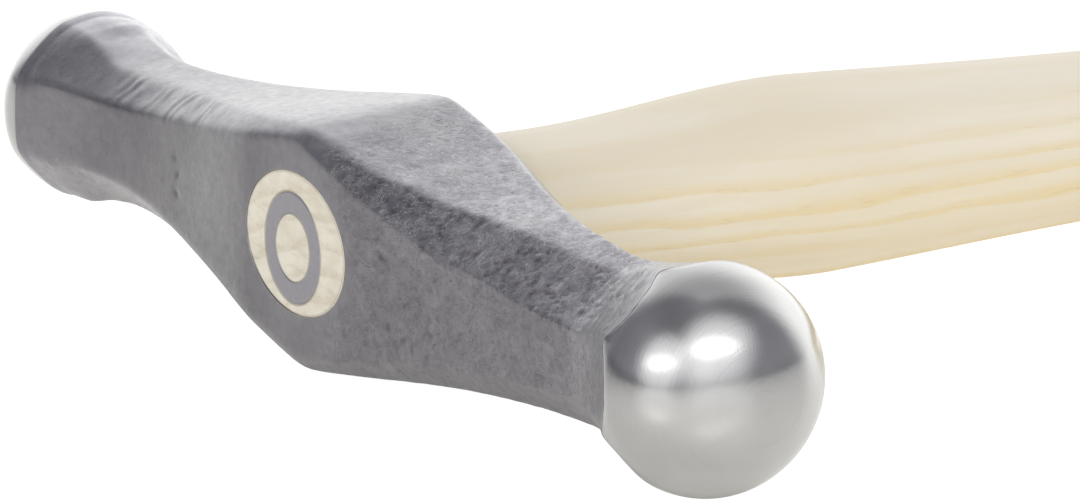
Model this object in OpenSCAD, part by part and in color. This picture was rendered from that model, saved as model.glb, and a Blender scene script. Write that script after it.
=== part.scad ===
// Double-ended ball-faced hammer for raising and sinking sheet metal.
// The head is one forging with a ball face at each end, the handle is an
// oval ash stick whose tenon fills the eye, and a round tapered ring wedge
// driven into the end grain locks the two together.
//
// +X runs along the head towards the larger ball, +Y along the handle
// towards the butt, +Z out of the upper cheek. The origin is the centre of
// the eye on the front flat of the head. All sizes are in millimetres.

/* [Head] */
// Front-to-back depth of the head at the eye
head_depth = 23.6; // [22:0.2:27]
// Height of the head across the cheeks at the eye
head_height = 31.8; // [29:0.2:34]
// Radius that rounds off the crest of each cheek
crest_r = 3.5; // [2:0.5:7]
// Width of the bevel between front flat and cheek, beside the eye
bevel_eye = 1.7; // [1.3:0.1:2.4]
// Front-to-back depth of each neck at its thinnest
neck_depth = 15.2; // [14.4:0.2:17]
// Height of each neck at its thinnest
neck_height = 20; // [18.8:0.2:21]
// Width of the bevels on the necks
bevel_neck = 5; // [4:0.2:5.4]
// Width of the upper front bevel beside the eye, towards the larger ball
deep_eye = 2.8; // [2:0.1:3.4]
// Width of that bevel on the neck
deep_neck = 7.4; // [6.4:0.1:7.6]
// Back bevels over front bevels
back_bevel = 1.3; // [1:0.05:1.4]
// Distance from the eye to the thinnest place of each neck
neck_at = 59; // [54:1:62]

/* [Ball faces] */
// Diameter of the larger ball, on the +X end
big_ball_d = 27; // [26:0.5:29]
// Distance from the eye to the pole of the larger ball
big_reach = 86.5; // [85:0.5:92]
// Diameter of the smaller ball, on the -X end
small_ball_d = 25; // [24:0.5:27]
// Distance from the eye to the pole of the smaller ball
small_reach = 85.6; // [84.6:0.2:92]
// How much flatter than a sphere the larger ball face is at its pole
crown_flat = 1.6; // [0.8:0.1:2]
// Radius of the rounded rim of the smaller, flatter face
rim_r = 6.3; // [5.6:0.1:7]
// Depth of the smaller face from its widest place to its pole
small_rise = 9.2; // [8.8:0.1:9.8]

/* [Eye and ring wedge] */
// Length of the oval eye, along the head
eye_len = 24.6; // [22:0.2:25.4]
// Width of the oval eye, across the cheeks
eye_wid = 17.6; // [16:0.2:18.4]
// How much narrower the eye is at mid depth than at its mouths
eye_waist = 0.8; // [0.2:0.1:1.4]
// Outer diameter of the ring wedge at the front flat
ring_d = 13.7; // [12.6:0.1:14.4]
// Wall of the ring wedge at the front flat
ring_wall = 2.6; // [2:0.1:3]
// Wall of the ring wedge at its thin inner edge
ring_edge = 0.7; // [0.5:0.1:1]
// Length of the ring wedge
ring_len = 12; // [9:0.5:14]
// How far the ring wedge sits off the eye's centre along the head
ring_off_x = -0.6; // [-0.8:0.1:0.8]
// How far the ring wedge sits off the eye's centre towards the upper cheek
ring_off_z = -0.7; // [-0.8:0.1:0.8]

/* [Handle] */
// Length of the hammer from the front flat to the butt
handle_len = 315; // [290:5:345]
// Thickness of the handle just behind the head
neck_t = 19.6; // [18.6:0.2:21]
// Thickness of the belly behind the head
belly_t = 25; // [23:0.5:27]
// Distance of the belly from the front flat
belly_at = 72; // [66:1:78]
// Thickness of the slim part between belly and grip
slim_t = 20.6; // [19:0.2:22]
// Distance of the slim part from the front flat
slim_at = 140; // [130:1:155]
// Thickness of the grip swell
grip_t = 26; // [24:0.5:28]
// Distance of the grip swell from the front flat
grip_at = 258; // [240:1:265]
// Thickness of the handle at the butt, before its edge is rounded
butt_t = 23.6; // [22:0.2:24]
// Width of the handle over its thickness
oval = 1.3; // [1.2:0.01:1.4]
// Rounding of the edge round the butt
butt_r = 3.5; // [2:0.5:4.5]

/* [Hidden] */

cy = head_depth / 2;              // the head axis lies this far behind the front flat
steps = 22;                       // strips of each face between eye and seam
big_r = big_ball_d / 2;
small_r = small_ball_d / 2;
flare = 0.66;                     // slope of the polished flare beyond a seam
setback = 0.27;                   // seam behind the widest place, per ball radius
flat_half = eye_len / 2 + 0.7;    // half length of the true flat round the eye

function soft(x, r) = sqrt(x * x + r * r) - r;
function mix(a, b, t) = a + (b - a) * t;
function clamp(t) = max(0, min(1, t));
function ease(t) = t * t * (3 - 2 * t);

// An end is [radius, side arc radius, widest place to pole, widest place from
// the eye, radius of the arc on the neck side, steepness of its flare].
// Ball outline: a small torus arc round the side, a flatter crown arc at the
// pole, tangent where they meet.
big_side = big_r - crown_flat - 0.45;
B = [big_r, big_side, big_side + 0.4, big_reach - big_side - 0.4, big_side, 1.85];
S = [small_r, rim_r, small_rise, small_reach - small_rise, 26, 1.4];
function off(e) = e[0] - e[1];                               // side arc centre off the axis
// The crown arc's radius follows from the arcs being tangent.
function crown(e) = (off(e) * off(e) + e[2] * e[2] - e[1] * e[1]) / (2 * (e[2] - e[1]));
function tang(e) = atan2(off(e), crown(e) - e[2]);           // where the arcs meet

// The place where the ball outline takes over from the forging, at each end.
function seam(e) = e[3] - setback * e[0];

// Half sizes of the forged section at a distance x from the eye, towards an
// end e.
function past(x, e) = pow(clamp((x - neck_at + 3) / (seam(e) - neck_at + 3)), e[5]);
function half_h(x, e) =
    mix(neck_height / 2, head_height / 2, pow(1 - clamp(soft(x, crest_r) / soft(neck_at, crest_r)), 2))
    + (0.935 * e[0] - neck_height / 2) * past(x, e) + flare * max(0, x - seam(e));
function half_w(x, e) =
    mix(neck_depth / 2, cy, pow(1 - clamp(soft(max(0, x - flat_half), 3) / soft(neck_at - flat_half, 3)), 2.5))
    + (0.80 * e[0] - neck_depth / 2) * past(x, e) + flare * max(0, x - seam(e));
function even(x) = mix(bevel_eye, bevel_neck, clamp(x / neck_at));
function deep(x) = mix(deep_eye, deep_neck, pow(sin(90 * clamp(x / neck_at)), 1.2));
function to_end(b, x, e) = mix(b, 0.56 * e[0], past(x, e));
// Distance of a bevel from the axis, for a bevel of width b on the neck.
function half_d(x, e, b) = let (t = min(x, seam(e)))
    (half_w(t, e) + half_h(t, e) - to_end(b, t, e)) / sqrt(2) + flare * max(0, x - seam(e));

// Distances from the eye at which the outlines are worked out: the ends of
// the true flat, even steps to the seam, and a point beyond the ball.
function marks(s) = concat([for (i = [0:3]) flat_half * i / 3],
                           [for (i = [1:steps]) flat_half + (s - flat_half) * i / steps], [s + 40]);

mb = marks(seam(B));
ms = marks(seam(S));

// One outline along the head. kind 0 is the cheek outline, 1 the front and
// back outline, 2 the even bevels, 3 the back bevels, 4 the upper front bevel,
// which is deeper towards the larger ball.
function half(kind, x, e) = kind == 0 ? half_h(x, e) : kind == 1 ? half_w(x, e) : kind == 2 ? half_d(x, e, even(x))
    : kind == 3 ? half_d(x, e, back_bevel * even(x)) : half_d(x, e, e == B ? deep(x) : even(x));
function edge(kind) = concat([for (i = [len(ms) - 1:-1:1]) [-ms[i], half(kind, ms[i], S)]],
                             [for (x = mb) [x, half(kind, x, B)]]);
module outline(back, front) {
    u = edge(back);
    l = edge(front);
    polygon(concat(u, [for (i = [len(l) - 1:-1:0]) [l[i][0], -l[i][1]]]));
}

// Turned outline that gives both ball faces: clear of the forging between
// the seams, and on the ball outline beyond them.
function ball_side(e) = let (w = e[3], a0 = asin((w - seam(e)) / e[4]))
    concat([for (i = [0:5]) let (a = 90 + a0 * (1 - i / 5))
                [w + e[4] * cos(a), e[0] - e[4] + e[4] * sin(a)]],
           [for (i = [1:10]) let (a = mix(90, tang(e), i / 10))
                [w + e[1] * cos(a), off(e) + e[1] * sin(a)]],
           [for (i = [1:6]) let (a = tang(e) * (1 - i / 6))
                [w + e[2] - crown(e) + crown(e) * cos(a), crown(e) * sin(a)]]);
module envelope() {
    b = ball_side(B);
    f = ball_side(S);
    translate([0, cy, 0]) rotate([0, 90, 0]) rotate_extrude($fn = 96)
        rotate(90) mirror([0, 1, 0])
        polygon(concat([[seam(B), 30]], b, [for (i = [len(f) - 1:-1:0]) [-f[i][0], f[i][1]]], [[-seam(S), 30]]));
}

function oval_pts(a, b, n = 48) = [for (i = [0:n - 1]) [a * cos(360 * i / n), b * sin(360 * i / n)]];

// A solid through oval sections: st is a list of [y, half length, half width].
module loft(st, n = 48) {
    pts = [for (s = st) for (p = oval_pts(s[1], s[2], n)) [p[0], s[0], p[1]]];
    k = len(st);
    sides = [for (j = [0:k - 2]) for (i = [0:n - 1]) let (a = j * n + i, b = j * n + (i + 1) % n) [a, b, b + n, a + n]];
    polyhedron(pts, concat([[for (i = [n - 1:-1:0]) i]], sides, [[for (i = [0:n - 1]) (k - 1) * n + i]]), convexity = 4);
}

// The oval of the eye at depth y: widest at both mouths, narrower between.
function eye_in(y) = eye_waist / 2 * (1 - pow(abs(y - cy) / cy, 1));
function eye_at(y) = [y, eye_len / 2 - eye_in(y), eye_wid / 2 - eye_in(y)];

module head() {
    color([0.36, 0.35, 0.37]) difference() {
        intersection() {
            translate([0, 40, 0]) rotate([90, 0, 0]) linear_extrude(80) outline(0, 0);
            translate([0, cy, -40]) linear_extrude(80) outline(1, 1);
            translate([0, cy, 0]) rotate([45, 0, 0]) translate([0, 0, -40]) linear_extrude(80) outline(3, 2);
            translate([0, cy, 0]) rotate([-45, 0, 0]) translate([0, 0, -40]) linear_extrude(80) outline(3, 4);
            envelope();
        }
        loft([[-1, eye_at(0)[1], eye_at(0)[2]], eye_at(0), eye_at(cy), eye_at(head_depth),
              [head_depth + 1, eye_at(0)[1], eye_at(0)[2]]]);
    }
}

// Half thickness of the handle at y behind the front flat.
function thick(y) =
    y <= belly_at ? mix(neck_t, belly_t, pow(ease(clamp((y - head_depth - 8) / (belly_at - head_depth - 8))), 1.1)) / 2
    : y <= slim_at ? mix(belly_t, slim_t, pow(ease(clamp((y - belly_at) / (slim_at - belly_at))), 0.62)) / 2
    : y <= grip_at ? mix(slim_t, grip_t, ease((y - slim_at) / (grip_at - slim_at))) / 2
    : mix(grip_t, butt_t, pow((y - grip_at) / (handle_len - grip_at), 1.6)) / 2;
// Width over thickness blends from the eye's oval to the handle's own.
function ratio(y) = mix(eye_len / eye_wid, oval, ease(clamp((y - head_depth) / 30)));
// The shoulder: the handle grows from the eye's mouth to its own section.
shoulder = 6;
function butt_in(y) = let (d = y - (handle_len - butt_r)) d <= 0 ? 0 : butt_r - sqrt(max(0, butt_r * butt_r - d * d));
function stick(y) = let (t = ease(clamp((y - head_depth) / shoulder)), b = mix(eye_wid / 2, thick(y), t),
                         a = mix(eye_len / 2, thick(y) * ratio(y), t)) [y, a - butt_in(y), b - butt_in(y)];
stations = concat([eye_at(0), eye_at(cy), eye_at(head_depth)],
                  [for (i = [1:3]) stick(head_depth + shoulder * i / 3)],
                  [for (i = [1:24]) stick(head_depth + shoulder + (handle_len - butt_r - head_depth - shoulder) * i / 24)],
                  [for (i = [1:4]) stick(handle_len - butt_r + butt_r * sin(90 * i / 4))]);

// The ring wedge, turned round the handle axis: thick at the front flat,
// thin at its inner edge.
module ring_shape(front = 0) {
    ro = ring_d / 2;
    mid = ro - 0.55 - ring_edge / 2;
    translate([ring_off_x, 0, ring_off_z]) rotate([-90, 0, 0]) rotate_extrude($fn = 96)
        polygon([[ro, -front], [mid + ring_edge / 2, ring_len], [mid - ring_edge / 2, ring_len], [ro - ring_wall, -front]]);
}

module handle() {
    color([0.90, 0.84, 0.70]) difference() {
        loft(stations);
        ring_shape();
    }
}

module ring_wedge() {
    color([0.58, 0.58, 0.61]) ring_shape();
}

head();
handle();
ring_wedge();
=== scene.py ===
import math
import bpy
import numpy as np
from mathutils import Matrix, Quaternion, Vector


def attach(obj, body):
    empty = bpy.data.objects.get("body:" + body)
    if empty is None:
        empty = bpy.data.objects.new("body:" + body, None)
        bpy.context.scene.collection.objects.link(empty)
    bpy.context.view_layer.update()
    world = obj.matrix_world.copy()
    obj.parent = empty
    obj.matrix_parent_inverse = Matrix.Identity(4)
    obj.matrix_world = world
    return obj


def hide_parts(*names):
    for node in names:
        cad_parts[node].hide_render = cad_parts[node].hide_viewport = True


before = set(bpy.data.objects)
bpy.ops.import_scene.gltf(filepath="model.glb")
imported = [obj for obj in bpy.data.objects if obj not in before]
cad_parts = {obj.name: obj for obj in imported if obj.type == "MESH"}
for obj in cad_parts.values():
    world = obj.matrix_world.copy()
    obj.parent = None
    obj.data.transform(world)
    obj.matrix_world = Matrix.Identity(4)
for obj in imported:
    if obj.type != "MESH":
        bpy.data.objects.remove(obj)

scene = bpy.context.scene
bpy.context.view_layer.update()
MM = 0.001

# ------------------------------------------------------------------ helpers


def clamp(t, lo=0.0, hi=1.0):
    return np.clip(t, lo, hi)


def ease(t):
    t = clamp(t)
    return t * t * (3.0 - 2.0 * t)


def step(a, b, t):
    return ease((t - a) / (b - a))


def mix(a, b, t):
    return a + (b - a) * t


def soft(x, r):
    return np.sqrt(x * x + r * r) - r


def lattice(ix, iy, iz, seed):
    n = (ix * 73856093) ^ (iy * 19349663) ^ (iz * 83492791) ^ (seed * 2654435761)
    n = n & 0xFFFFFFFF
    n = ((n ^ (n >> 15)) * 2246822519) & 0xFFFFFFFF
    n = ((n ^ (n >> 13)) * 3266489917) & 0xFFFFFFFF
    return n ^ (n >> 16)


def noise(p, seed):
    """Gradient noise of points (n, 3), about -1 to 1, the same on every run."""
    i = np.floor(p).astype(np.int64)
    f = p - i
    u = f * f * f * (f * (f * 6.0 - 15.0) + 10.0)
    out = np.zeros(len(p))
    for dx in (0, 1):
        wx = u[:, 0] if dx else 1.0 - u[:, 0]
        for dy in (0, 1):
            wy = u[:, 1] if dy else 1.0 - u[:, 1]
            for dz in (0, 1):
                wz = u[:, 2] if dz else 1.0 - u[:, 2]
                h = lattice(i[:, 0] + dx, i[:, 1] + dy, i[:, 2] + dz, seed)
                g = np.stack([(h & 255), (h >> 8) & 255, (h >> 16) & 255], 1) / 127.5 - 1.0
                g = g / np.maximum(np.linalg.norm(g, axis=1), 0.2)[:, None]
                d = (g * (f - np.array([dx, dy, dz]))).sum(1)
                out += wx * wy * wz * d
    return out * 1.6


def fbm(p, seed, octaves=3, gain=0.5):
    total, amp = np.zeros(len(p)), 1.0
    for k in range(octaves):
        total += amp * noise(p * 2.0 ** k, seed + 31 * k)
        amp *= gain
    return total


def make_object(name, verts, faces, materials, index=None, smooth=True):
    """A mesh object from points in millimetres in the shared frame."""
    mesh = bpy.data.meshes.new(name)
    mesh.from_pydata((np.asarray(verts) * MM).tolist(), [], faces)
    for m in materials:
        mesh.materials.append(m)
    if index is not None:
        mesh.polygons.foreach_set("material_index", np.asarray(index, np.int32))
    mesh.polygons.foreach_set("use_smooth", [smooth] * len(mesh.polygons))
    mesh.update()
    obj = bpy.data.objects.new(name, mesh)
    scene.collection.objects.link(obj)
    return obj


def loft(rings, close_start=True, close_end=True, periodic=False):
    """Quads between rings of equal point count, with a fan at each closed end."""
    n = len(rings[0])
    verts = np.concatenate(rings)
    faces, rows = [], len(rings)
    for k in range(rows if periodic else rows - 1):
        a, b = k * n, ((k + 1) % rows) * n
        for j in range(n):
            j2 = (j + 1) % n
            faces.append((a + j, a + j2, b + j2, b + j))
    if not periodic:
        if close_start:
            c = len(verts)
            verts = np.vstack([verts, rings[0].mean(0)])
            faces += [(c, (j + 1) % n, j) for j in range(n)]
        if close_end:
            c = len(verts)
            verts = np.vstack([verts, rings[-1].mean(0)])
            base = (rows - 1) * n
            faces += [(c, base + j, base + (j + 1) % n) for j in range(n)]
    return verts, faces


# ------------------------------------------------------------------ materials


class Mat:
    """A small wrapper that builds one node material."""

    def __init__(self, name):
        self.m = bpy.data.materials.new(name)
        self.m.use_nodes = True
        self.t = self.m.node_tree
        self.t.nodes.clear()
        self.out = self.t.nodes.new("ShaderNodeOutputMaterial")
        self.bsdf = self.t.nodes.new("ShaderNodeBsdfPrincipled")
        self.t.links.new(self.bsdf.outputs[0], self.out.inputs["Surface"])

    def put(self, socket, value):
        if isinstance(value, bpy.types.NodeSocket):
            self.t.links.new(value, socket)
        elif isinstance(value, (tuple, list)) and socket.type == "RGBA" and len(value) == 3:
            socket.default_value = (*value, 1.0)
        else:
            socket.default_value = value

    def node(self, kind, out=0, props=None, **inputs):
        n = self.t.nodes.new(kind)
        for k, v in (props or {}).items():
            setattr(n, k, v)
        for k, v in inputs.items():
            key = int(k[1:]) if k[0] == "_" and k[1:].isdigit() else k.replace("_", " ")
            self.put(n.inputs[key], v)
        return n.outputs[out]

    def math(self, op, a, b=0.5, c=0.0, clamp=False):
        return self.node("ShaderNodeMath", props={"operation": op, "use_clamp": clamp}, _0=a, _1=b, _2=c)

    def vmath(self, op, a, b=(0, 0, 0), out=0, scale=None):
        n = self.t.nodes.new("ShaderNodeVectorMath")
        n.operation = op
        self.put(n.inputs[0], a)
        if op not in ("NORMALIZE", "LENGTH", "SCALE"):
            self.put(n.inputs[1], b)
        if scale is not None:
            self.put(n.inputs["Scale"], scale)
        return n.outputs[out]

    def range(self, v, a, b, c=0.0, d=1.0, kind="SMOOTHSTEP"):
        n = self.t.nodes.new("ShaderNodeMapRange")
        n.interpolation_type = kind
        for i, x in enumerate((v, a, b, c, d)):
            self.put(n.inputs[i], x)
        return n.outputs[0]

    def blend(self, fac, a, b, mode="MIX"):
        n = self.t.nodes.new("ShaderNodeMix")
        n.data_type = "RGBA"
        n.blend_type = mode
        self.put(n.inputs[0], fac)
        self.put(n.inputs[6], a)
        self.put(n.inputs[7], b)
        return n.outputs[2]

    def coords(self, scale=(1, 1, 1), turn=(0, 0, 0), move=(0, 0, 0)):
        """Object coordinates in millimetres, then scaled, so a noise scale is in features per mm."""
        tc = self.node("ShaderNodeTexCoord", out=3)
        s = tuple(1000.0 * k for k in scale)
        n = self.t.nodes.new("ShaderNodeMapping")
        n.vector_type = "POINT"
        self.put(n.inputs["Vector"], tc)
        self.put(n.inputs["Location"], move)
        self.put(n.inputs["Rotation"], turn)
        self.put(n.inputs["Scale"], s)
        return n.outputs[0]

    def noise(self, vec, scale, detail=2.0, rough=0.5, kind="FBM", out=0, distortion=0.0, lac=2.0):
        n = self.t.nodes.new("ShaderNodeTexNoise")
        n.noise_dimensions = "3D"
        n.noise_type = kind
        n.normalize = kind == "FBM"
        self.put(n.inputs["Vector"], vec)
        self.put(n.inputs["Scale"], scale)
        self.put(n.inputs["Detail"], detail)
        self.put(n.inputs["Roughness"], rough)
        self.put(n.inputs["Lacunarity"], lac)
        self.put(n.inputs["Distortion"], distortion)
        return n.outputs[out]

    def attr(self, name):
        n = self.t.nodes.new("ShaderNodeAttribute")
        n.attribute_name = name
        return n.outputs["Fac"]

    def shade(self):
        return self.math("ADD", self.attr("shade"), 1.0)

    def bump(self, height, strength, distance, normal=None):
        n = self.t.nodes.new("ShaderNodeBump")
        self.put(n.inputs["Height"], height)
        self.put(n.inputs["Strength"], strength)
        self.put(n.inputs["Distance"], distance)
        if normal is not None:
            self.put(n.inputs["Normal"], normal)
        return n.outputs[0]

    def set(self, **inputs):
        for k, v in inputs.items():
            self.put(self.bsdf.inputs[k.replace("_", " ")], v)
        return self.m


def forged_material():
    """Dark forging skin under a thin clear lacquer."""
    m = Mat("forged_skin")
    p = m.coords()
    broad = m.noise(p, 0.09, 3.0, 0.55)
    mid = m.noise(p, 0.55, 4.0, 0.6, distortion=0.6)
    fine = m.noise(p, 2.6, 5.0, 0.65)
    pits_and_painted_shade = m.attr("pits_and_painted_shade")
    rough_zone = m.attr("zone")
    tone = m.math("ADD", m.math("MULTIPLY", broad, 0.5), m.math("MULTIPLY", mid, 0.35))
    tone = m.math("ADD", tone, m.math("MULTIPLY", fine, 0.15))
    col = m.blend(m.range(tone, 0.36, 0.66), (0.245, 0.238, 0.256), (0.315, 0.308, 0.320))
    # cloudy darker scale where the forging is rough
    cloud = m.range(m.noise(p, 0.30, 3.0, 0.6), 0.42, 0.66)
    col = m.blend(m.math("MULTIPLY", m.math("MULTIPLY", rough_zone, cloud), 0.5), col, (0.165, 0.158, 0.18))
    # dark scale in the curled marks and pits, and painted shade in the seam groove, inside the dents and under the far
    # upper front bevel
    col = m.blend(m.math("MULTIPLY", pits_and_painted_shade, 0.72), col, (0.085, 0.078, 0.09))
    # thin curled marks, faint on the smooth faces
    curl = m.attr("curl")
    lines = None
    for scale, shift, width, twist in ((0.60, 0.0, 0.042, 2.4), (1.0, 40.0, 0.055, 1.8)):
        worm = m.noise(m.coords(move=(shift, shift * 0.3, 5.0)), scale, 2.0, 0.5, distortion=twist)
        one = m.range(m.math("ABSOLUTE", m.math("SUBTRACT", worm, 0.5)), 0.0, width, 1.0, 0.0)
        gate = m.range(m.noise(m.coords(move=(31.0 + shift, 7.0, 3.0)), 0.5, 1.0, 0.5), 0.44, 0.54)
        one = m.math("MULTIPLY", one, gate)
        lines = one if lines is None else m.math("MAXIMUM", lines, one)
    line = m.math("MULTIPLY", lines, curl)
    col = m.blend(m.math("MULTIPLY", line, 0.46), col, (0.13, 0.125, 0.14))
    # mottling of the scale, strongest where the marks are
    mottle = m.noise(p, 0.66, 3.0, 0.55, distortion=1.3)
    pale = m.math("MULTIPLY", m.range(mottle, 0.52, 0.70), curl)
    col = m.blend(m.math("MULTIPLY", pale, 0.30), col, (0.39, 0.385, 0.395))
    deep = m.math("MULTIPLY", m.range(mottle, 0.46, 0.30), curl)
    col = m.blend(m.math("MULTIPLY", deep, 0.32), col, (0.17, 0.165, 0.18))
    # hair scratches, mostly across the head
    hair = m.noise(m.coords((2.6, 0.9, 0.10), (0.0, 0.18, 0.0)), 1.0, 2.0, 0.5)
    hair = m.range(hair, 0.60, 0.72)
    keep = m.range(m.noise(m.coords(move=(5.0, 17.0, 29.0)), 0.13, 2.0, 0.5), 0.48, 0.66)
    hair = m.math("MULTIPLY", hair, keep)
    col = m.blend(m.math("MULTIPLY", hair, 0.16), col, (0.42, 0.415, 0.43))
    # painted light and shade: the colour is scaled by the per-facet shade attribute
    col = m.blend(1.0, col, m.node("ShaderNodeCombineXYZ", X=m.shade(), Y=m.shade(), Z=m.shade()), "MULTIPLY")
    rough = m.range(m.noise(p, 0.9, 3.0, 0.6), 0.3, 0.7, 0.27, 0.40, "LINEAR")
    h = m.math("ADD", m.math("MULTIPLY", fine, 0.45), m.math("MULTIPLY", m.noise(p, 1.1, 3.0, 0.5), 0.8))
    h = m.math("ADD", h, m.math("MULTIPLY", mottle, m.math("MULTIPLY", curl, 1.2)))
    h = m.math("SUBTRACT", h, m.math("MULTIPLY", line, 1.3))
    h = m.math("ADD", h, m.math("MULTIPLY", hair, 0.12))
    amount = m.range(m.math("MAXIMUM", rough_zone, m.math("MULTIPLY", curl, 0.75)), 0.0, 1.0, 0.13, 0.66, "LINEAR")
    n = m.bump(h, amount, 0.00012)
    return m.set(Base_Color=col, Metallic=0.93, Roughness=rough, Normal=n,
                 Coat_Weight=0.4, Coat_Roughness=0.25, Coat_IOR=1.45)


def polished_material():
    """Ground and polished steel with very fine belt marks round the ball."""
    m = Mat("polished_steel")
    p = m.coords()
    haze = m.noise(p, 0.25, 3.0, 0.5)
    sep = m.t.nodes.new("ShaderNodeSeparateXYZ")
    m.put(sep.inputs[0], p)
    x, y, z = sep.outputs
    # marks that run round the head's axis beside the seam
    ring = m.node("ShaderNodeCombineXYZ", X=m.math("MULTIPLY", x, 5.5), Y=m.math("MULTIPLY", y, 0.12), Z=m.math("MULTIPLY", z, 0.12))
    belt = m.noise(ring, 1.0, 3.0, 0.6)
    near_seam = m.range(m.math("ABSOLUTE", x), 72.0, 80.0, 1.0, 0.30)
    a = m.noise(m.coords((0.25, 6.0, 1.0), (0.3, 0.2, 0.5)), 1.0, 3.0, 0.55)
    b = m.noise(m.coords((6.0, 0.35, 0.9), (0.9, -0.4, 0.2)), 1.0, 3.0, 0.55)
    h = m.math("ADD", m.math("MULTIPLY", a, 0.6), m.math("MULTIPLY", b, 0.6))
    h = m.math("ADD", h, m.math("MULTIPLY", m.math("MULTIPLY", belt, near_seam), 1.6))
    n = m.bump(h, 0.60, 0.00002)
    col = m.blend(haze, (0.535, 0.535, 0.525), (0.590, 0.590, 0.578))
    # painted reflection: darker beside the seam of the larger ball, on its upper side, standing in for the dark room
    # reflected there
    painted_dark_band = m.math("MULTIPLY", m.range(x, 72.5, 79.0, 1.0, 0.0), m.math("MULTIPLY", m.range(x, 10.0, 60.0), m.range(z, -1.0, 4.0)))
    col = m.blend(m.math("MULTIPLY", painted_dark_band, 0.72), col, (0.25, 0.25, 0.26))
    dark = m.math("MULTIPLY", m.math("MULTIPLY", m.range(belt, 0.52, 0.72), near_seam), 0.30)
    col = m.blend(dark, col, (0.28, 0.28, 0.285))
    rough = m.math("ADD", m.range(haze, 0.3, 0.7, 0.14, 0.20, "LINEAR"), m.math("MULTIPLY", near_seam, 0.05))
    return m.set(Base_Color=col, Metallic=1.0, Roughness=rough, Normal=n)


def wedge_material():
    """Turned steel, faced off with the wood."""
    m = Mat("wedge_steel")
    p = m.coords()
    grain = m.noise(p, 1.2, 4.0, 0.6)
    marks = m.noise(m.coords((1.0, 1.0, 9.0), (0.0, 0.5, 0.0)), 1.0, 3.0, 0.6)
    tone = m.math("ADD", m.math("MULTIPLY", grain, 0.5), m.math("MULTIPLY", marks, 0.5))
    col = m.blend(m.range(tone, 0.35, 0.65), (0.395, 0.385, 0.412), (0.475, 0.463, 0.490))
    n = m.bump(marks, 0.12, 0.00003)
    return m.set(Base_Color=col, Metallic=0.92, Roughness=m.range(grain, 0.3, 0.7, 0.40, 0.52, "LINEAR"), Normal=n)


def ash_material():
    """Pale ash: growth rings round a pith beside the handle, pores along it."""
    m = Mat("ash_wood")
    p = m.coords()
    bend = m.noise(m.coords((0.03, 0.006, 0.03)), 1.0, 2.0, 0.5)
    bend = m.math("MULTIPLY", m.math("SUBTRACT", bend, 0.5), 9.0)
    wob = m.noise(m.coords((0.16, 0.03, 0.16)), 1.0, 3.0, 0.55)
    wob = m.math("MULTIPLY", m.math("SUBTRACT", wob, 0.5), 3.2)
    sep = m.t.nodes.new("ShaderNodeSeparateXYZ")
    m.put(sep.inputs[0], p)
    x, y, z = sep.outputs
    px = m.math("ADD", x, m.math("MULTIPLY", y, 0.02))
    px = m.math("SUBTRACT", px, 16.0)
    pz = m.math("ADD", z, m.math("MULTIPLY", y, -0.012))
    pz = m.math("ADD", pz, 58.0)
    d = m.math("SQRT", m.math("ADD", m.math("MULTIPLY", px, px), m.math("MULTIPLY", pz, pz)))
    d = m.math("ADD", m.math("ADD", d, bend), wob)
    # the layers are wider spaced towards the upper side, which is nearly plain
    ring = m.math("FRACT", m.math("DIVIDE", d, 3.3))
    early = m.math("MULTIPLY", m.range(ring, 0.0, 0.12), m.range(ring, 0.16, 0.62, 1.0, 0.0))
    fade = m.range(m.noise(m.coords((0.12, 0.010, 0.12), move=(3.0, 1.0, 9.0)), 1.0, 2.0, 0.5), 0.34, 0.62)
    plain = m.range(z, 0.5, 9.5, 1.0, 0.28)
    early = m.math("MULTIPLY", early, m.math("MULTIPLY", m.math("ADD", m.math("MULTIPLY", fade, 0.8), 0.2), plain))
    fibre = m.noise(m.coords((2.0, 0.09, 2.0)), 1.0, 3.0, 0.6)
    silk = m.noise(m.coords((0.55, 0.020, 0.55)), 1.0, 3.0, 0.55)
    pores = m.noise(m.coords((3.2, 0.16, 3.2)), 1.0, 2.0, 0.5)
    pore = m.range(pores, 0.57, 0.72)
    pore = m.math("MULTIPLY", pore, m.math("ADD", m.math("MULTIPLY", early, 0.85), 0.05))
    broad = m.noise(m.coords((0.09, 0.012, 0.09)), 1.0, 2.0, 0.5)
    col = m.blend(m.range(broad, 0.35, 0.65), (0.875, 0.790, 0.610), (0.930, 0.860, 0.705))
    col = m.blend(m.math("MULTIPLY", m.range(silk, 0.42, 0.66), m.math("MULTIPLY", plain, 0.35)), col, (0.86, 0.735, 0.50))
    col = m.blend(m.math("MULTIPLY", early, 0.72), col, (0.86, 0.705, 0.40))
    col = m.blend(m.math("MULTIPLY", m.range(fibre, 0.45, 0.75), 0.14), col, (0.84, 0.74, 0.52))
    col = m.blend(m.math("MULTIPLY", pore, 0.38), col, (0.70, 0.54, 0.28))
    h = m.math("SUBTRACT", m.math("MULTIPLY", fibre, 0.4), m.math("MULTIPLY", pore, 1.0))
    n = m.bump(h, 0.2, 0.00006)
    return m.set(Base_Color=col, Roughness=0.5, Normal=n, Subsurface_Weight=0.08,
                 Subsurface_Scale=0.0015, Specular_IOR_Level=0.4)


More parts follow.
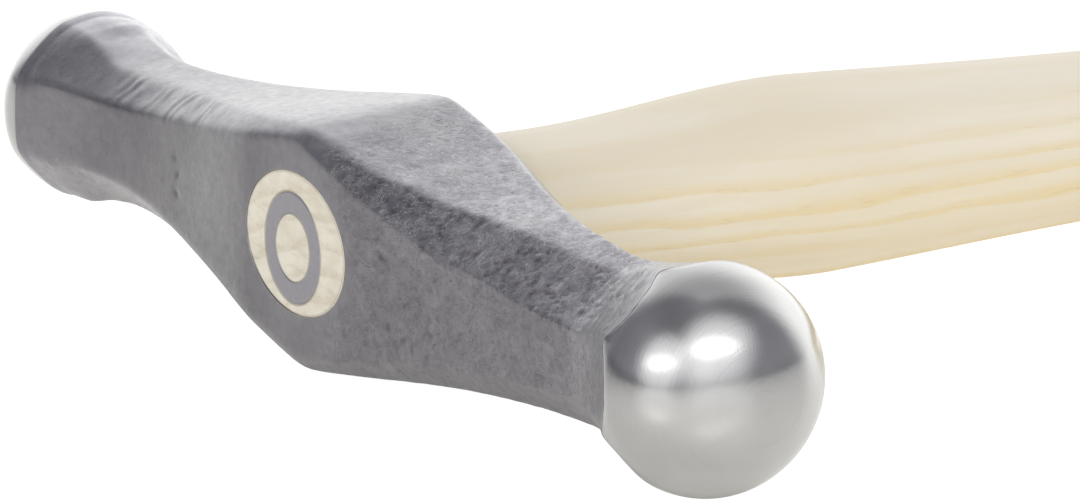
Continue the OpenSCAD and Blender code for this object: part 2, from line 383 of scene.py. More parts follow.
def end_grain_material():
    """The sanded end of the tenon: pores and rings end on."""
    m = Mat("ash_end_grain")
    p = m.coords()
    sep = m.t.nodes.new("ShaderNodeSeparateXYZ")
    m.put(sep.inputs[0], p)
    x, y, z = sep.outputs
    bend = m.math("MULTIPLY", m.math("SUBTRACT", m.noise(p, 0.12, 2.0, 0.5), 0.5), 2.2)
    px = m.math("SUBTRACT", x, 16.0)
    pz = m.math("ADD", z, 58.0)
    d = m.math("SQRT", m.math("ADD", m.math("MULTIPLY", px, px), m.math("MULTIPLY", pz, pz)))
    ring = m.math("FRACT", m.math("DIVIDE", m.math("ADD", d, bend), 3.3))
    early = m.math("MULTIPLY", m.range(ring, 0.0, 0.1), m.range(ring, 0.15, 0.5, 1.0, 0.0))
    pores = m.range(m.noise(p, 2.4, 2.0, 0.5), 0.56, 0.70)
    pore = m.math("MULTIPLY", pores, m.math("ADD", m.math("MULTIPLY", early, 0.6), 0.08))
    broad = m.noise(p, 0.25, 3.0, 0.6)
    smear = m.noise(m.coords((0.35, 1.0, 1.6), (0.0, 0.9, 0.0)), 0.5, 3.0, 0.6)
    col = m.blend(m.range(broad, 0.35, 0.65), (0.86, 0.80, 0.65), (0.95, 0.90, 0.76))
    col = m.blend(m.math("MULTIPLY", m.range(smear, 0.5, 0.72), 0.4), col, (0.68, 0.60, 0.44))
    col = m.blend(m.math("MULTIPLY", early, 0.25), col, (0.64, 0.54, 0.36))
    col = m.blend(m.math("MULTIPLY", pore, 0.5), col, (0.42, 0.33, 0.19))
    # painted shade: a dark line in the joints where the wood meets the steel
    ex, ez = m.math("DIVIDE", x, 12.3), m.math("DIVIDE", z, 8.8)
    er = m.math("SQRT", m.math("ADD", m.math("MULTIPLY", ex, ex), m.math("MULTIPLY", ez, ez)))
    wx, wz = m.math("ADD", x, 0.6), m.math("ADD", z, 0.7)
    wr = m.math("SQRT", m.math("ADD", m.math("MULTIPLY", wx, wx), m.math("MULTIPLY", wz, wz)))
    rim = m.range(er, 0.955, 0.992)
    out_ring = m.math("MULTIPLY", m.range(wr, 6.95, 7.25, 1.0, 0.0), m.range(wr, 6.0, 6.1))
    in_ring = m.math("MULTIPLY", m.range(wr, 3.95, 4.2), m.range(wr, 4.6, 4.7, 1.0, 0.0))
    painted_joint_shade = m.math("MAXIMUM", rim, m.math("MAXIMUM", out_ring, in_ring))
    front_only = m.range(y, 1.0, 3.0, 1.0, 0.0)
    col = m.blend(m.math("MULTIPLY", m.math("MULTIPLY", painted_joint_shade, front_only), 0.55), col, (0.20, 0.18, 0.15))
    n = m.bump(m.math("SUBTRACT", broad, pore), 0.3, 0.00008)
    return m.set(Base_Color=col, Roughness=0.6, Normal=n, Specular_IOR_Level=0.35)


FORGED = forged_material()
POLISHED = polished_material()
WEDGE = wedge_material()
ASH = ash_material()
END_GRAIN = end_grain_material()

# ------------------------------------------------------------------ head

CY = 11.8
N_ROUND = 216
ENDS = {1: {"r": 13.5, "reach": 86.5, "side": 11.45, "pole": 11.85, "neck_arc": 11.45},
        -1: {"r": 12.5, "reach": 85.6, "side": 6.3, "pole": 9.2, "neck_arc": 9.0}}
for e in ENDS.values():
    e["off"] = e["r"] - e["side"]
    e["crown"] = (e["off"] ** 2 + e["pole"] ** 2 - e["side"] ** 2) / (2.0 * (e["pole"] - e["side"]))
    e["widest"] = e["reach"] - e["pole"]
    k = e["crown"] - e["side"]
    e["tu"] = (e["pole"] - e["crown"]) + e["crown"] * (e["crown"] - e["pole"]) / k
    e["tq"] = e["crown"] * e["off"] / k
ENDS[1]["seam"] = ENDS[1]["widest"] - 3.0              # polished from here on, further out on the flats
ENDS[-1]["seam"] = ENDS[-1]["widest"] - 0.5            # forging skin ends at the rim

# the upper front bevel: height of its lower edge, and its width, along the head
EDGE_Z = ((-80, 5.6), (-66, 5.3), (-60, 5.3), (-54, 5.48), (-43, 6.43), (-27, 8.6), (-12, 11.3), (-4, 12.75),
          (0, 13.2), (4, 12.3), (9, 11.0), (16, 9.2), (23, 6.9), (30, 5.1), (38, 4.4), (44, 3.5), (52, 2.85),
          (59, 2.7), (66, 4.5), (70, 5.4), (74, 5.8), (80, 5.8))
EDGE_CUT = ((-80, 7.4), (-75, 6.9), (-66, 5.2), (-60, 3.75), (-52, 3.4), (-40, 3.2), (-30, 2.85), (-12, 1.95), (-2, 1.3),
            (0, 1.15), (5, 1.75), (10, 1.98), (16, 2.4), (20, 3.2), (25, 3.9), (31, 4.8), (38, 5.1), (46, 5.6),
            (56, 5.9), (63, 6.6), (70, 7.4), (74, 7.9), (80, 7.9))


def spline(x, table):
    """Smooth interpolation without overshoot."""
    xs, ys = np.array(table, float).T
    h = np.diff(xs)
    d = np.diff(ys) / h
    m = np.zeros(len(xs))
    same = d[:-1] * d[1:] > 0
    m[1:-1][same] = (2.0 * d[:-1] * d[1:])[same] / (d[:-1] + d[1:])[same]
    m[0], m[-1] = d[0], d[-1]
    x = np.clip(x, xs[0], xs[-1])
    k = np.clip(np.searchsorted(xs, x) - 1, 0, len(xs) - 2)
    t = (x - xs[k]) / h[k]
    return (ys[k] * (1 + 2 * t) * (1 - t) ** 2 + h[k] * m[k] * t * (1 - t) ** 2
            + ys[k + 1] * t * t * (3 - 2 * t) + h[k] * m[k + 1] * t * t * (t - 1))


def ball_radius(u, e):
    """Radius of the ball's outline at u millimetres past its widest place."""
    sr = np.where(u < 0, e["neck_arc"], e["side"])
    side = e["r"] - sr + np.sqrt(np.maximum(sr ** 2 - u * u, 0.0))
    crown = np.sqrt(np.maximum(e["crown"] ** 2 - (u - (e["pole"] - e["crown"])) ** 2, 0.0))
    return np.where(u <= e["tu"], side, crown)


def corners_at(sx):
    """The eight corners of the forged section, as (towards the front, up) from the axis."""
    x = np.abs(sx)
    far = sx < 0
    r = np.where(far, 12.5, 13.5)
    past = np.where(far, clamp((soft(np.maximum(0.0, x - 57.2), 0.8)) / 17.6),
                    clamp((x - 56.0) / 18.3) ** 1.65)
    past_w = np.where(far, clamp((x - 44.0) / 32.0) ** 1.9, past)
    end_h, end_w = np.where(far, 12.3, 13.4), np.where(far, 11.9, 13.45)
    hh = mix(10.0, 15.9, (1.0 - clamp(soft(x, 3.5) / soft(59.0, 3.5))) ** 2) + (end_h - 10.0) * past
    hw = mix(7.6, 11.8, (1.0 - clamp(soft(np.maximum(0.0, x - 11.0), 9.0) / soft(48.0, 9.0))) ** 2.3)
    hw = hw + (end_w - 7.6) * past_w
    b = mix(1.7, 5.0, clamp(x / 59.0)) + (np.where(far, 7.0, 7.88) - 5.0) * past
    kb, kl = mix(1.3, 1.0, past), mix(0.9, 1.0, past)
    hb = hh - np.where(far, 0.9 * step(30.0, 56.0, x) * (1.0 - step(62.0, 72.0, x)), 0.0)
    zl, ct = spline(sx, EDGE_Z), spline(sx, EDGE_CUT)
    w = [hw, hw - ct, -(hw - kb * b), -hw, -hw, -(hw - kb * b), hw - kl * b, hw]
    z = [zl, np.minimum(zl + ct, hh - 0.02), hh, hh - kb * b, -(hb - kb * b), -hb, -hb, -(hb - kl * b)]
    return np.stack(w, -1), np.stack(z, -1)


def facet_table():
    """Direction and distance of each of the eight facets along the head."""
    xs = np.arange(-80.0, 80.01, 0.1)
    w, z = corners_at(xs)
    dw, dz = w - np.roll(w, 1, -1), z - np.roll(z, 1, -1)
    length = np.hypot(dw, dz)
    nw, nz = dz / length, -dw / length
    h = nw * w + nz * z
    flip = np.where(h < 0, -1.0, 1.0)
    ang = np.arctan2(nz * flip, nw * flip)
    base = np.arange(8) * math.pi / 4.0
    ang = base + (ang - base + math.pi) % (2.0 * math.pi) - math.pi
    return xs, ang, np.abs(h)


TABLE = facet_table()


def seam_bow(phi):
    """How far the seam of the larger ball reaches towards the ball on each flat, from the corners."""
    c = np.cos(4.0 * phi)
    towards_front = 0.35 + 0.65 * step(-0.1, 0.45, np.cos(phi))
    return np.where(c > 0.0, 2.35 * c, -2.75 * c) * towards_front + 0.10 * np.sin(3.0 * phi + 1.0)


def octagon(sx, phi):
    """Distance of the forged octagon from the head's axis, and the share of each facet."""
    xs, ang, hs = TABLE
    x = np.abs(sx)
    power = np.where(sx < 0, mix(70.0, 34.0, step(3.0, 20.0, x)) + 26.0 * step(54.0, 62.0, x), 70.0)
    total, shares = 0.0, []
    for i in range(8):
        a, h = np.interp(sx, xs, ang[:, i]), np.interp(sx, xs, hs[:, i])
        c = np.maximum(np.cos(phi - a), 0.0) / h
        wgt = (c * 10.0) ** power
        shares.append(wgt)
        total = total + wgt
    return 10.0 * total ** (-1.0 / power), [w / total for w in shares]


def section(sx, phi, sign):
    """Distance from the head's axis, and the share of each facet, at points sx, phi."""
    e = ENDS[sign]
    x = np.abs(sx)
    rad, shares = octagon(sx, phi)
    if sign > 0:
        ball = ball_radius(x - e["widest"], e)
        # forging up to the seam, the ball beyond it, with a short blend where they differ
        s_phi = e["seam"] + seam_bow(phi)
        gap = octagon(s_phi, phi)[0] - ball_radius(s_phi - e["widest"], e)
        past = np.maximum(0.0, x - s_phi)
        return np.where(x >= s_phi - 1e-6, ball + gap * np.exp(-past / 0.7), rad), shares
    q = 34.0
    ball = np.maximum(ball_radius(np.maximum(x - e["widest"], -2.4), e), 0.1) + 6.0 * (1.0 - step(58.0, 71.0, x)) + 30.0 * (1.0 - step(30.0, 54.0, x))
    cut = rad / (1.0 + (rad / ball) ** q) ** (1.0 / q)
    # the rim of the smaller face is fully round on the upper and back sides
    full = step(66.0, 74.0, x) * step(0.45, -0.1, np.cos(phi)) * step(-0.5, 0.2, np.sin(phi))
    return mix(cut, np.minimum(ball, e["r"] - 0.02), full), shares


def stations():
    """Places along the head, denser at the seam, each with its end."""
    rows = []
    for sign in (-1, 1):
        e = ENDS[sign]
        s, w = e["seam"], e["widest"]
        if sign > 0:
            body = np.linspace(0.0, s - 0.6, 170)
            near = s + np.array([-0.45, -0.3, -0.2, -0.12, -0.05, 0.03, 0.1, 0.18, 0.3, 0.45, 0.65])
            out = np.arange(s + 0.9, w + 2.6, 0.30)
        else:
            body = np.linspace(0.0, w - 9.0, 160)
            near = np.arange(w - 8.7, w, 0.3)
            out = np.arange(w + 0.15, w + 1.6, 0.3)
        a0 = math.asin((out[-1] - w) / e["side"])
        a1 = math.asin(e["tu"] / e["side"])
        arc = w + e["side"] * np.sin(np.linspace(a0, a1, 22)[1:])
        b1 = math.asin(e["tq"] / e["crown"])
        crown = w + (e["pole"] - e["crown"]) + e["crown"] * np.cos(np.linspace(b1, 0.0, 20)[1:-1])
        xs = np.concatenate([body, near, out, arc, crown])
        if sign < 0:
            rows += [(sign, x) for x in xs[::-1]]
        else:
            rows += [(sign, x) for x in xs[1:]]
    return rows


def build_head():
    phi = np.arange(N_ROUND) * 2.0 * math.pi / N_ROUND
    rows = stations()
    pts, zone, ring_x = [], [], []
    for sign, x in rows:
        e = ENDS[sign]
        xe = np.full(N_ROUND, x)
        if sign > 0:
            s = e["seam"]
            xe = xe + seam_bow(phi) * step(s - 9.0, s, xe) * (1.0 - step(s, s + 9.0, xe))
        rad, share = section(sign * xe, phi, sign)
        pts.append(np.stack([sign * xe, CY - rad * np.cos(phi), rad * np.sin(phi)], 1))
        ring_x.append(sign * x)
        zone.append(np.stack(share, 1))
    P = np.stack(pts)                      # rows, round, 3
    S = np.stack(zone)                     # rows, round, 8
    flat = P.reshape(-1, 3)
    sh = S.reshape(-1, 8)
    row_x = np.repeat(np.array(ring_x), N_ROUND)
    xs = flat[:, 0]
    ax = np.abs(row_x)
    front, upf, top, upb, back, lob, bottom, lof = sh.T
    sb = ENDS[1]["seam"]
    dist = np.where(row_x > 0, sb - ax, ENDS[-1]["seam"] - ax)
    forged = dist > 0
    inside = step(0.0, 2.2, dist)          # fades out towards the polished faces
    near = step(0.0, 7.0, xs + 0.35 * (flat[:, 1] - 12.0))
    far = 1.0 - near
    eye = np.sqrt((flat[:, 0] / 12.3) ** 2 + (flat[:, 2] / 8.8) ** 2)
    clear = np.where(front + back > 0.5, step(1.03, 1.25, eye), 1.0)

    # how rough the forging is: deepest on the upper front bevel near the larger ball
    rough = near * (0.34 * top + 1.0 * upf + 0.46 * front + 0.45 * (upb + back + lob + bottom) + 0.40 * lof)
    rough = rough + far * (0.05 * top + 0.16 * upf + 0.12 * front + 0.35 * (upb + back + lob + bottom) + 0.25 * lof)
    patch = 0.9 + 0.3 * noise(flat / 8.0, 131)
    rough = clamp(rough * clamp(patch, 0.6, 1.2))
    curl = near * (0.95 * top + 1.0 * upf + 0.90 * front + 0.5 * (upb + back + lob + bottom) + 0.5 * lof)
    curl = curl + far * (0.10 * top + 0.30 * upf + 0.22 * front + 0.4 * (upb + back + lob + bottom) + 0.3 * lof)

    # curly marks one to two millimetres long, and small pits
    swirl = np.stack([noise(flat / 1.9, 5), noise(flat / 1.9, 6), noise(flat / 1.9, 7)], 1)
    w1 = noise(flat / 1.75 + 1.1 * swirl, 11)
    worms = np.exp(-(w1 / 0.14) ** 2) * step(-0.25, 0.15, noise(flat / 2.2, 211))
    pits = step(0.34, 0.58, noise(flat / 1.3, 23))
    lumps = fbm(flat / 2.1, 37, 3, 0.5)
    strong = mix(0.62, 1.15, step(12.0, 50.0, xs))
    d = rough * strong * (-0.085 * worms - 0.06 * pits)
    d += rough ** 2 * strong * 0.095 * lumps + 0.010 * lumps * (1.0 - rough)
    d += 0.07 * fbm(flat / 17.0, 91, 2, 0.5) * (0.5 + 0.5 * rough)
    # transverse wrinkles on the upper front bevel of the far half
    bend = flat[:, 0] - 0.55 * flat[:, 2] + 1.6 * noise(flat / 4.0, 55)
    wave = np.sin(bend * 2.0 * math.pi / 2.9 + 0.9 * np.sin(bend * 0.9 + 0.7))
    wr = upf * step(-16.0, -34.0, xs) * (1.0 - step(-54.5, -58.0, xs))
    wr = wr * (0.35 + 0.65 * step(-0.35, 0.25, noise(flat / 4.0, 57)))
    d += 0.060 * wr * wave + 0.05 * wr * noise(flat / 2.2, 59)
    # slanting hammer streaks where the near bevel flares out to the ball
    st = (flat[:, 0] - 0.95 * flat[:, 2]) / 2.1 + 0.8 * noise(flat / 4.0, 61)
    fl = (upf + lof + upb + lob) * step(56.0, 61.0, xs) * inside
    d += 0.045 * fl * np.sin(st * 2.0 * math.pi)
    # painted shadow: a dark line just under the lower edge of the upper front bevel of the far half
    zl = spline(xs, EDGE_Z)
    painted_bevel_shadow = np.exp(-((flat[:, 2] - zl + 0.45 + 0.12 * noise(flat / 1.5, 65)) / 0.34) ** 2)
    painted_bevel_shadow = painted_bevel_shadow * (flat[:, 1] < CY) * step(1.0, -5.0, xs) * (1.0 - step(-62.0, -66.0, xs)) * (0.7 + 0.3 * noise(flat / 3.0, 67))
    # dents struck into the front face
    painted_dent_shade = 0.0
    for cx, cz, rx, rz, dep, turn in ((19.0, 5.0, 0.65, 0.50, 0.12, 0.2), (19.8, 2.7, 1.15, 0.40, 0.15, -0.55),
                                      (20.9, -5.6, 0.9, 0.45, 0.13, -0.5), (24.0, -6.6, 0.5, 0.35, 0.10, 0.4),
                                      (-37.0, 2.2, 0.75, 0.45, 0.12, 0.2), (-36.2, 0.2, 0.95, 0.40, 0.14, 0.5),
                                      (-36.6, -2.4, 0.85, 0.45, 0.14, -0.2), (44.0, -7.2, 1.2, 0.4, 0.07, 0.3),
                                      (52.5, 0.8, 1.0, 0.5, 0.06, 1.1)):
        a, bz = xs - cx, flat[:, 2] - cz
        u = (a * math.cos(turn) + bz * math.sin(turn)) / rx
        v = (-a * math.sin(turn) + bz * math.cos(turn)) / rz
        one = front * np.exp(-(u * u + v * v) * (1.0 + 0.5 * noise(flat / 1.1, 63)))
        d -= dep * one
        # painted shade inside the dents, added to the dark colour mask below
        painted_dent_shade = painted_dent_shade + one * (dep / 0.15)
    # a short forging crack above the eye
    px, pz = xs, flat[:, 2]
    for (x0, z0), (x1, z1) in (((-4.6, 12.9), (-3.1, 10.6)), ((-3.1, 10.6), (-2.8, 9.3))):
        lx, lz = x1 - x0, z1 - z0
        t = clamp(((px - x0) * lx + (pz - z0) * lz) / (lx * lx + lz * lz))
        gap = np.hypot(px - x0 - t * lx, pz - z0 - t * lz)
        d -= front * 0.05 * np.exp(-(gap / 0.28) ** 2)
    d *= inside * clear * forged
    # groove at the seam, slightly ragged, with a lip of ground steel after it
    jitter = 0.14 * noise(np.stack([flat[:, 1] / 3.0, flat[:, 2] / 3.0, np.full(len(flat), 3.0)], 1), 83)
    jitter += 0.09 * noise(np.stack([flat[:, 1] / 0.9, flat[:, 2] / 0.9, np.full(len(flat), 7.0)], 1), 87)
    ds = np.where(row_x > 0, ax - sb, 99.0)
    g = np.exp(-(ds / 0.11) ** 2)
    d -= (0.12 + 0.05 * noise(flat / 2.0, 89)) * g
    near_seam = np.exp(-(ds / 1.2) ** 2)
    radial = flat - np.stack([flat[:, 0], np.full(len(flat), CY), np.zeros(len(flat))], 1)
    length = np.maximum(np.linalg.norm(radial, axis=1), 1e-6)
    flat = flat + radial * (d / length)[:, None]
    flat[:, 0] += jitter * near_seam
    flat[:, 2] = np.clip(flat[:, 2], -15.88, 15.88)

    verts = flat
    rows_n = len(rows)
    faces, index = [], []
    for k in range(rows_n - 1):
        a, b = k * N_ROUND, (k + 1) * N_ROUND
        mid = 0.5 * (ring_x[k] + ring_x[k + 1])
        m_i = 1 if (mid > ENDS[1]["seam"] + 0.06 or mid < -ENDS[-1]["seam"]) else 0
        for j in range(N_ROUND):
            j2 = (j + 1) % N_ROUND
            faces.append((a + j, b + j, b + j2, a + j2))
            index.append(m_i)
    c0 = len(verts)
    verts = np.vstack([verts, [[-ENDS[-1]["reach"], CY, 0.0]], [[ENDS[1]["reach"], CY, 0.0]]])
    last = (rows_n - 1) * N_ROUND
    for j in range(N_ROUND):
        j2 = (j + 1) % N_ROUND
        faces.append((c0, j, j2))
        faces.append((c0 + 1, last + j2, last + j))
        index += [1, 1]
    obj = make_object("hammer_head", verts, faces, [FORGED, POLISHED], index)
    zone_all = np.concatenate([rough * inside, [0.0, 0.0]])
    # dark colour mask: dark scale in the curled marks and pits, and painted shade in the seam groove, inside the dents
    # and under the far upper front bevel
    pits_and_painted_shade_all = clamp(rough * (1.0 * worms + 0.8 * pits)) * inside * clear * forged + 0.9 * g * forged
    pits_and_painted_shade_all = clamp(pits_and_painted_shade_all + 1.0 * clamp(painted_dent_shade) + 0.5 * clamp(painted_bevel_shadow) * inside)
    pits_and_painted_shade_all = np.concatenate([pits_and_painted_shade_all, [0.0, 0.0]])
    # painted light and shade: the skin is made paler or darker on each facet along the head, and paler on the upper
    # back of the far end, to stand for how the light falls there
    painted_light_front = spline(xs, ((-80, 1.08), (-66, 1.04), (-56, 0.84), (-40, 0.61), (-22, 0.56), (-13, 0.70), (0, 0.90),
                             (13, 0.90), (30, 1.04), (45, 1.02), (60, 1.02), (72, 1.05)))
    painted_light_top = spline(xs, ((-80, 1.62), (-62, 1.56), (-56, 1.10), (-40, 0.90), (-5, 0.88), (8, 1.25), (30, 1.50), (50, 1.44), (72, 1.2)))
    painted_light_upf = spline(xs, ((-80, 0.95), (-60, 0.98), (-50, 0.97), (-5, 0.97), (8, 1.0), (30, 1.14), (50, 1.14), (60, 1.12), (72, 1.05)))
    shade = front * painted_light_front + top * painted_light_top + upf * painted_light_upf + (1.0 - front - top - upf) + 0.7 * upb * step(-48.0, -66.0, xs)
    shade = np.where(forged, shade, 1.0)
    shade_all = np.concatenate([shade - 1.0, [0.0, 0.0]])
    curl_all = np.concatenate([clamp(curl) * inside * clear * forged, [0.0, 0.0]])
    for name, data in (("zone", zone_all), ("pits_and_painted_shade", clamp(pits_and_painted_shade_all)), ("curl", curl_all), ("shade", shade_all)):
        at = obj.data.attributes.new(name, "FLOAT", "POINT")
        at.data.foreach_set("value", data.astype(np.float32))
    return obj


def eye_cutter():
    n = 192
    t = np.arange(n) * 2.0 * math.pi / n
    prof = [(-1.0, 1.06), (0.06, 0.0)]
    for y in np.linspace(1.0, 22.6, 20):
        prof.append((y, -0.4 * (1.0 - ((y - 11.8) / 11.8) ** 2)))
    prof += [(23.46, 0.0), (24.6, 1.14)]
    rings = [np.stack([(12.3 + g) * np.cos(t), np.full(n, y), (8.8 + g) * np.sin(t)], 1) for y, g in prof]
    verts, faces = loft(rings)
    return make_object("eye_cutter", verts, faces, [FORGED])


def face_out(obj):
    import bmesh
    bm = bmesh.new()
    bm.from_mesh(obj.data)
    bmesh.ops.recalc_face_normals(bm, faces=bm.faces)
    bm.to_mesh(obj.data)
    bm.free()


head = build_head()
face_out(head)
cutter = eye_cutter()
face_out(cutter)
cut = head.modifiers.new("eye", "BOOLEAN")
cut.operation = "DIFFERENCE"
cut.solver = "EXACT"
cut.object = cutter
bpy.context.view_layer.objects.active = head
head.select_set(True)
bpy.ops.object.modifier_apply(modifier="eye")
head.select_set(False)
bpy.data.objects.remove(cutter)
head.data.set_sharp_from_angle(angle=math.radians(32.0))
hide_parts("head")
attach(head, "root")

# ------------------------------------------------------------------ ring wedge

RING_X, RING_Z = -0.6, -0.7


def cone_out(y):
    return mix(6.85, 6.30, y / 12.0)


def cone_in(y):
    return mix(4.25, 5.60, y / 12.0)


def build_wedge():
    n = 144
    t = np.arange(n) * 2.0 * math.pi / n
    c = 0.10
    prof = [(cone_in(c) + 0.0, c), (4.25 + 0.03 + c * 0.6, 0.02), (4.25 + 0.16, 0.0)]
    for r in np.linspace(4.6, 6.55, 12):
        prof.append((r, 0.0))
    prof += [(6.85 - 0.16, 0.0), (6.85 - c * 0.6 - 0.03, 0.02), (cone_out(c), c)]
    for y in np.linspace(0.6, 11.85, 16):
        prof.append((cone_out(y), y))
    prof += [(6.20, 12.0), (5.70, 12.0)]
    for y in np.linspace(11.85, 0.6, 16):
        prof.append((cone_in(y), y))
    rings = []
    for r, y in prof:
        ring = np.stack([RING_X + r * np.cos(t), np.full(n, y), RING_Z + r * np.sin(t)], 1)
        if y <= 0.0:
            ring[:, 1] += 0.006 * (1.0 + noise(ring / 1.7, 5))
        rings.append(ring)
    verts, faces = loft(rings, periodic=True)
    return make_object("ring_wedge_steel", verts, faces, [WEDGE])


wedge = build_wedge()
face_out(wedge)
wedge.data.set_sharp_from_angle(angle=math.radians(40.0))
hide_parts("ring_wedge")
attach(wedge, "root")

# ------------------------------------------------------------------ handle

HANDLE = 315.0


def thick(y):
    if y <= 72.0:
        return mix(19.6, 25.0, float(ease(np.array((y - 31.6) / 40.4))) ** 1.1)
    if y <= 140.0:
        return mix(25.0, 20.6, float(ease(np.array((y - 72.0) / 68.0))) ** 0.62)
    if y <= 258.0:
        return mix(20.6, 26.0, float(ease(np.array((y - 140.0) / 118.0))))
    return mix(26.0, 23.6, ((y - 258.0) / 57.0) ** 1.6)


def half_axes(y):
    if y <= 23.6:
        g = -0.4 * (1.0 - ((y - 11.8) / 11.8) ** 2) - 0.02
        return 12.3 + g, 8.8 + g
    b = thick(y) / 2.0
    ratio = mix(24.6 / 17.6, 1.3, float(ease(np.array((y - 23.6) / 30.0))))
    t = float(ease(np.array((y - 23.6) / 6.0)))
    return mix(12.3, b * ratio, t), mix(8.8, b, t)


def build_handle():
    n = 160
    t = np.arange(n) * 2.0 * math.pi / n
    rings, kinds = [], []
    centre = np.array([RING_X, RING_Z])

    def oval(a, b, y):
        return np.stack([a * np.cos(t), np.full(n, y), b * np.sin(t)], 1)

    def circle(r, y):
        return np.stack([centre[0] + r * np.cos(t), np.full(n, y), centre[1] + r * np.sin(t)], 1)

    # end grain inside the ring, from its middle outwards
    for r in (0.5, 1.0, 1.6, 2.2, 2.8, 3.4, 3.9, 4.12):
        rings.append(circle(r, 0.0))
        kinds.append(1)
    rings.append(circle(4.235, 0.10)); kinds.append(1)
    # down the inner wall of the slot that the wedge sits in, and up the outer wall
    for y in (0.6, 3.0, 6.0, 9.0, 12.0):
        rings.append(circle(cone_in(y) - 0.012, y)); kinds.append(1)
    for y in (12.02, 9.0, 6.0, 3.0, 0.6):
        rings.append(circle(cone_out(min(y, 12.0)) + 0.012, y)); kinds.append(1)
    rings.append(circle(6.865, 0.10)); kinds.append(1)
    # end grain outside the ring
    a0, b0 = half_axes(0.0)
    rim_in = circle(6.98, 0.0)
    rim_out = oval(a0 - 0.16, b0 - 0.16, 0.0)
    for k in np.linspace(0.0, 1.0, 9):
        rings.append(mix(rim_in, rim_out, k)); kinds.append(1)
    rings.append(oval(a0, b0, 0.16)); kinds.append(0)
    ys = list(np.linspace(1.0, 23.4, 16)) + list(np.linspace(23.8, 30.0, 16)) + list(np.linspace(31.2, HANDLE - 4.2, 236))
    for y in ys:
        a, b = half_axes(y)
        rings.append(oval(a, b, y)); kinds.append(0)
    a, b = half_axes(HANDLE - 3.5)
    for ang in np.linspace(0.0, 90.0, 13):
        c = math.radians(ang)
        cut_in = 3.5 * (1.0 - math.cos(c))
        rings.append(oval(a - cut_in, b - cut_in, HANDLE - 3.5 + 3.5 * math.sin(c))); kinds.append(0 if ang < 60 else 1)
    for k in (0.85, 0.6, 0.35, 0.1):
        rings.append(oval((a - 3.5) * k, (b - 3.5) * k, HANDLE)); kinds.append(1)

    P = np.stack(rings)
    rows = len(rings)
    flat = P.reshape(-1, 3)
    side = step(30.0, 40.0, flat[:, 1]) * (1.0 - step(305.0, 312.0, flat[:, 1]))
    # slight hand-shaved unevenness of the side, along the handle
    u = noise(flat * np.array([0.10, 0.018, 0.10]), 19) * 0.10 + noise(flat * np.array([0.35, 0.03, 0.35]), 29) * 0.03
    rad = flat * np.array([1.0, 0.0, 1.0])
    length = np.maximum(np.linalg.norm(rad, axis=1), 1e-6)
    flat = flat + rad * ((u - 0.06) * side / length)[:, None]
    face = (flat[:, 1] < 0.02)
    flat[:, 1] += np.where(face, 0.02 * (1.0 + noise(flat / 1.6, 41)), 0.0)
    faces, index = [], []
    for k in range(rows - 1):
        a_, b_ = k * n, (k + 1) * n
        m_i = 1 if (kinds[k] == 1 and kinds[k + 1] == 1) else 0
        for j in range(n):
            j2 = (j + 1) % n
            faces.append((a_ + j, a_ + j2, b_ + j2, b_ + j))
            index.append(m_i)
    c = len(flat)
    verts = np.vstack([flat, flat[:n].mean(0), flat[-n:].mean(0)])
    last = (rows - 1) * n
    for j in range(n):
        j2 = (j + 1) % n
        faces.append((c, j2, j)); index.append(1)
        faces.append((c + 1, last + j, last + j2)); index.append(1)
    return make_object("ash_handle", verts, faces, [ASH, END_GRAIN], index)


handle = build_handle()
face_out(handle)
handle.data.set_sharp_from_angle(angle=math.radians(40.0))
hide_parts("handle")
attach(handle, "root")

# ------------------------------------------------------------------ floor, under the three places that touch it


def all_points(obj):
    co = np.zeros(len(obj.data.vertices) * 3)
    obj.data.vertices.foreach_get("co", co)
    return co.reshape(-1, 3)


hp, gp = all_points(head), all_points(handle)
groups = [hp[np.abs(hp[:, 0]) < 0.012], hp[hp[:, 0] > 0.06], gp[gp[:, 1] > 0.25]]
normal = np.array([0.0, 0.0, 1.0])
for _ in range(12):
    touch = [g[np.argmin(g @ normal)] for g in groups]
    nn = np.cross(touch[1] - touch[0], touch[2] - touch[0])
    nn = nn / np.linalg.norm(nn)
    normal = nn if nn[2] > 0 else -nn
level = min((hp @ normal).min(), (gp @ normal).min())
base = normal * level
side_x = np.cross([0.0, 1.0, 0.0], normal)
side_x /= np.linalg.norm(side_x)
side_y = np.cross(normal, side_x)
half = 6.0
corners = [base + side_x * sx * half + side_y * sy * half for sx, sy in ((-1, -1), (1, -1), (1, 1), (-1, 1))]
floor = make_object("floor", np.array(corners) / MM, [(0, 1, 2, 3)], [], smooth=False)
fm = Mat("floor_white")
fm.set(Base_Color=(0.91, 0.895, 0.855), Roughness=0.15, Specular_IOR_Level=0.85,
       Emission_Color=(1.0, 0.985, 0.94), Emission_Strength=0.18)
# the camera sees a nearly burnt-out sheet with only faint contact shadows
sheet = fm.t.nodes.new("ShaderNodeEmission")
sheet.inputs["Strength"].default_value = 1.14
path = fm.t.nodes.new("ShaderNodeLightPath")
part = fm.math("MULTIPLY", path.outputs["Is Camera Ray"], 0.74)
both = fm.t.nodes.new("ShaderNodeMixShader")
fm.put(both.inputs[0], part)
fm.t.links.new(fm.bsdf.outputs[0], both.inputs[1])
fm.t.links.new(sheet.outputs[0], both.inputs[2])
fm.t.links.new(both.outputs[0], fm.out.inputs["Surface"])
floor.data.materials.append(fm.m)

# ------------------------------------------------------------------ camera

